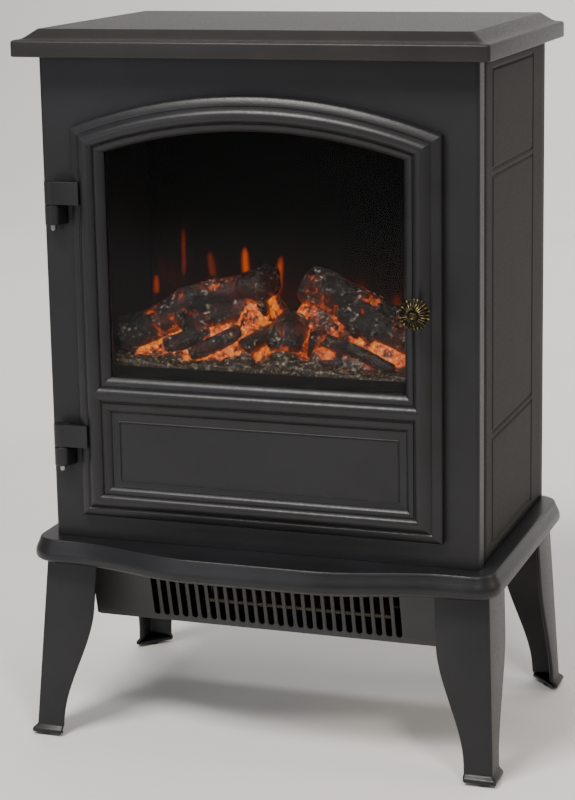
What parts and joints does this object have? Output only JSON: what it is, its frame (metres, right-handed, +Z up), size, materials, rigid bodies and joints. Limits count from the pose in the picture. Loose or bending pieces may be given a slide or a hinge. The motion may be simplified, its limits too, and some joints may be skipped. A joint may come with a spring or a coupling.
{
  "type": "electric fireplace",
  "caption": "Free-standing electric stove fireplace with an arched glass door over moulded logs, a fan heater under its base and splayed legs.",
  "frame": {"origin": "on the floor, at the centre of the whole object's outline", "axes": "+Z up, -Y is the front with the door, +X is to the right of someone who faces the door"},
  "size_m": [0.3954, 0.271, 0.5806],
  "materials": {
    "painted_steel": "satin charcoal powder coat on pressed sheet steel",
    "moulded_charcoal": "satin charcoal paint over moulded heat-resistant plastic",
    "cast_iron_look": "satin charcoal paint on cast metal",
    "black_sheet": "matt black coated sheet",
    "grille_charcoal": "satin charcoal powder coat on slotted sheet",
    "smoked_glass": "smoked tempered glass, polished",
    "antique_brass": "antique brass, dark in the hollows and rubbed bright on the edges",
    "zinc_steel": "zinc-plated steel",
    "fuel_bed": "hand-painted moulded resin, charred logs on grey-brown ash with glowing embers",
    "rubber_pad": "black rubber",
    "dark_screen": "dark translucent acrylic that shows the flames",
    "bright_aluminium": "bright aluminium sheet and strip",
    "motor_steel": "plain steel case",
    "circuit_board": "green lacquered board",
    "white_plastic": "off-white engineering plastic",
    "black_plastic": "fine-textured black plastic",
    "red_plastic": "translucent red plastic"
  },
  "bodies": {
    "cabinet": {"base_pan": "black_sheet", "base_plate": "moulded_charcoal", "blower_bush": "white_plastic", "blower_guide": "bright_aluminium", "blower_motor": "motor_steel", "cable_gland": "black_plastic", "control_panel": "black_plastic", "fascia": "painted_steel", "firebox_liner": "black_sheet", "flame_baffle": "bright_aluminium", "flame_led_board": "circuit_board", "flame_motor": "motor_steel", "flame_screen": "dark_screen", "foot_pad_front_left": "rubber_pad", "foot_pad_front_right": "rubber_pad", "foot_pad_rear_left": "rubber_pad", "foot_pad_rear_right": "rubber_pad", "glow_led_board": "circuit_board", "heater_grille": "grille_charcoal", "heater_tray": "black_sheet", "heating_element": "bright_aluminium", "hinge_lug_lower": "cast_iron_look", "hinge_lug_upper": "cast_iron_look", "hinge_pin_lower": "zinc_steel", "hinge_pin_upper": "zinc_steel", "leg_front_left": "moulded_charcoal", "leg_front_right": "moulded_charcoal", "leg_rear_left": "moulded_charcoal", "leg_rear_right": "moulded_charcoal", "log_set": "fuel_bed", "magnet_catch": "black_plastic", "rear_cover": "painted_steel", "rear_screw_1": "zinc_steel", "rear_screw_2": "zinc_steel", "rear_screw_3": "zinc_steel", "rear_screw_4": "zinc_steel", "side_panel_left": "painted_steel", "side_panel_right": "painted_steel", "spindle_bush": "white_plastic", "switch_body_flame": "black_plastic", "switch_body_high_heat": "black_plastic", "switch_body_low_heat": "black_plastic", "terminal_block": "white_plastic", "thermal_cutout": "motor_steel", "thermostat_body": "white_plastic", "top_plate": "moulded_charcoal"},
    "door": {"door_frame": "moulded_charcoal", "door_glass": "smoked_glass", "glass_retainer": "black_sheet", "knob": "antique_brass", "knob_screw": "zinc_steel", "strike_plate": "zinc_steel", "hinge_strap_upper": "cast_iron_look", "hinge_strap_lower": "cast_iron_look"},
    "spindle": {"flame_spindle": "bright_aluminium"},
    "blower": {"blower_impeller": "bright_aluminium"},
    "flame_rocker": {"rocker_flame": "red_plastic"},
    "low_heat_rocker": {"rocker_low_heat": "black_plastic"},
    "high_heat_rocker": {"rocker_high_heat": "black_plastic"},
    "dial": {"thermostat_dial": "black_plastic"}
  },
  "joints": [
    {"name": "door_hinge", "type": "hinge", "parent": "cabinet", "child": "door", "pos_m": [-0.1665, -0.1025, 0.35], "axis": [0, 0, -1], "range_deg": [0, 105]},
    {"name": "spindle_turn", "type": "hinge", "parent": "cabinet", "child": "spindle", "pos_m": [0, 0.0335, 0.3513], "axis": [1, 0, 0], "continuous": true},
    {"name": "blower_turn", "type": "hinge", "parent": "cabinet", "child": "blower", "pos_m": [0.015, 0.0005, 0.1182], "axis": [1, 0, 0], "continuous": true},
    {"name": "flame_rocker_tilt", "type": "hinge", "parent": "cabinet", "child": "flame_rocker", "pos_m": [-0.048, -0.0798, 0.245], "axis": [1, 0, 0], "range_deg": [0, 16]},
    {"name": "low_heat_rocker_tilt", "type": "hinge", "parent": "cabinet", "child": "low_heat_rocker", "pos_m": [-0.02, -0.0798, 0.245], "axis": [1, 0, 0], "range_deg": [-16, 0]},
    {"name": "high_heat_rocker_tilt", "type": "hinge", "parent": "cabinet", "child": "high_heat_rocker", "pos_m": [0.008, -0.0798, 0.245], "axis": [1, 0, 0], "range_deg": [-16, 0]},
    {"name": "dial_turn", "type": "hinge", "parent": "cabinet", "child": "dial", "pos_m": [0.046, -0.081, 0.245], "axis": [0, 1, 0], "range_deg": [0, 270]}
  ]
}
